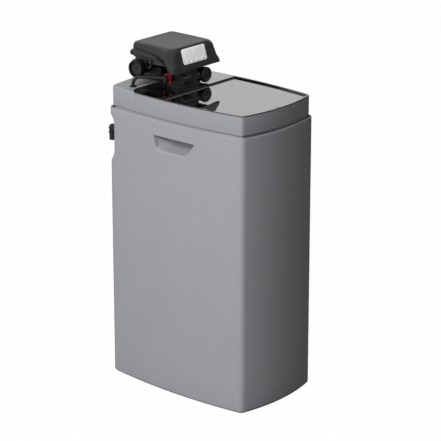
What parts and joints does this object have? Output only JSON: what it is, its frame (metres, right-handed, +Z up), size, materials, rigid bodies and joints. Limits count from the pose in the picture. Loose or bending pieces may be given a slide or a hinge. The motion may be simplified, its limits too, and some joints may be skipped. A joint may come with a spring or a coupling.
{
  "type": "water softener",
  "caption": "Free-standing cabinet water softener with a barrel-sided body, a recessed hinged salt lid and a hooded control valve with a display.",
  "frame": {"origin": "centre of the cabinet's footprint on the floor", "axes": "+Z up, the narrow curved front towards -Y, +X to the right as seen from the front"},
  "size_m": [0.32, 0.5, 0.929],
  "materials": {
    "cabinet": "satin moulded grey plastic",
    "collar": "satin moulded grey plastic",
    "gloss_black": "polished black plastic",
    "matt_black": "fine grained black plastic",
    "steel": "zinc plated steel",
    "tank": "wound glass fibre shell",
    "resin": "amber resin beads",
    "natural": "natural moulded plastic",
    "rubber": "black rubber",
    "ceramic": "lapped white ceramic",
    "tube": "black polyethylene tube",
    "clip_red": "red moulded plastic",
    "gear": "white acetal",
    "lens": "clear window with a pale mask",
    "lcd": "grey liquid crystal glass",
    "board": "green circuit board",
    "key": "soft dark grey key"
  },
  "bodies": {
    "cabinet": {"cabinet_shell": "cabinet", "collar": "collar", "deck_frame": "gloss_black", "drive_bracket": "matt_black", "valve_body": "matt_black", "bonnet": "matt_black", "meter_cap": "matt_black", "injector_cap": "matt_black", "brine_elbow": "matt_black", "drain_elbow": "matt_black", "overflow_elbow": "matt_black", "overflow_nut": "matt_black", "well_cap": "matt_black", "tank_boot": "matt_black", "bonnet_screws": "steel", "bracket_screws": "steel", "motor_screws": "steel", "meter_axle": "steel", "drive_motor": "steel", "resin_tank": "tank", "resin_bed": "resin", "riser_tube": "natural", "lower_strainer": "natural", "upper_strainer": "natural", "salt_grid": "natural", "brine_well": "natural", "air_check": "natural", "injector_nozzle": "natural", "neck_seal": "rubber", "tube_grommet": "rubber", "float_stops": "rubber", "overflow_grommet": "rubber", "seat_disc": "ceramic", "brine_tube": "tube", "brine_clip": "clip_red", "drain_clip": "clip_red"},
    "lid": {"salt_lid": "gloss_black", "lid_pins": "steel"},
    "hood_set": {"hood": "matt_black", "display_lens": "lens", "lcd_panel": "lcd", "control_board": "board", "power_socket": "matt_black"},
    "rotor": {"drive_gear": "gear", "drive_shaft": "matt_black", "rotor_disc": "ceramic"},
    "pinion": {"motor_pinion": "gear"},
    "turbine": {"meter_turbine": "natural"},
    "float": {"brine_float": "natural"},
    "mode_button_body": {"mode_button": "key"},
    "set_button_body": {"set_button": "key"},
    "up_button_body": {"up_button": "key"},
    "down_button_body": {"down_button": "key"}
  },
  "joints": [
    {"name": "lid_hinge", "type": "hinge", "parent": "cabinet", "child": "lid", "pos_m": [0, 0.04, 0.808], "axis": [-1, 0, 0], "range_deg": [0, 91]},
    {"name": "hood_lift", "type": "slide", "parent": "cabinet", "child": "hood_set", "axis": [0, 0, 1], "range_m": [0, 0.11]},
    {"name": "valve_turn", "type": "hinge", "parent": "cabinet", "child": "rotor", "pos_m": [0, 0.1, 0.86], "axis": [0, 0, 1], "continuous": true},
    {"name": "pinion_turn", "type": "hinge", "parent": "cabinet", "child": "pinion", "pos_m": [0.03775, 0.1, 0.894], "axis": [0, 0, 1], "continuous": true},
    {"name": "turbine_spin", "type": "hinge", "parent": "cabinet", "child": "turbine", "pos_m": [-0.061, 0.18, 0.86], "axis": [1, 0, 0], "continuous": true},
    {"name": "float_rise", "type": "slide", "parent": "cabinet", "child": "float", "axis": [0, 0, 1], "range_m": [0, 0.06]},
    {"name": "mode_press", "type": "slide", "parent": "hood_set", "child": "mode_button_body", "axis": [0, 0.9578, -0.2874], "range_m": [0, 0.001], "stiffness_N_per_m": 1500},
    {"name": "set_press", "type": "slide", "parent": "hood_set", "child": "set_button_body", "axis": [0, 0.9578, -0.2874], "range_m": [0, 0.001], "stiffness_N_per_m": 1500},
    {"name": "up_press", "type": "slide", "parent": "hood_set", "child": "up_button_body", "axis": [0, 0.9578, -0.2874], "range_m": [0, 0.001], "stiffness_N_per_m": 1500},
    {"name": "down_press", "type": "slide", "parent": "hood_set", "child": "down_button_body", "axis": [0, 0.9578, -0.2874], "range_m": [0, 0.001], "stiffness_N_per_m": 1500}
  ],
  "couplings": [
    {"joint": "pinion_turn", "follows": "valve_turn", "ratio": -4}
  ]
}
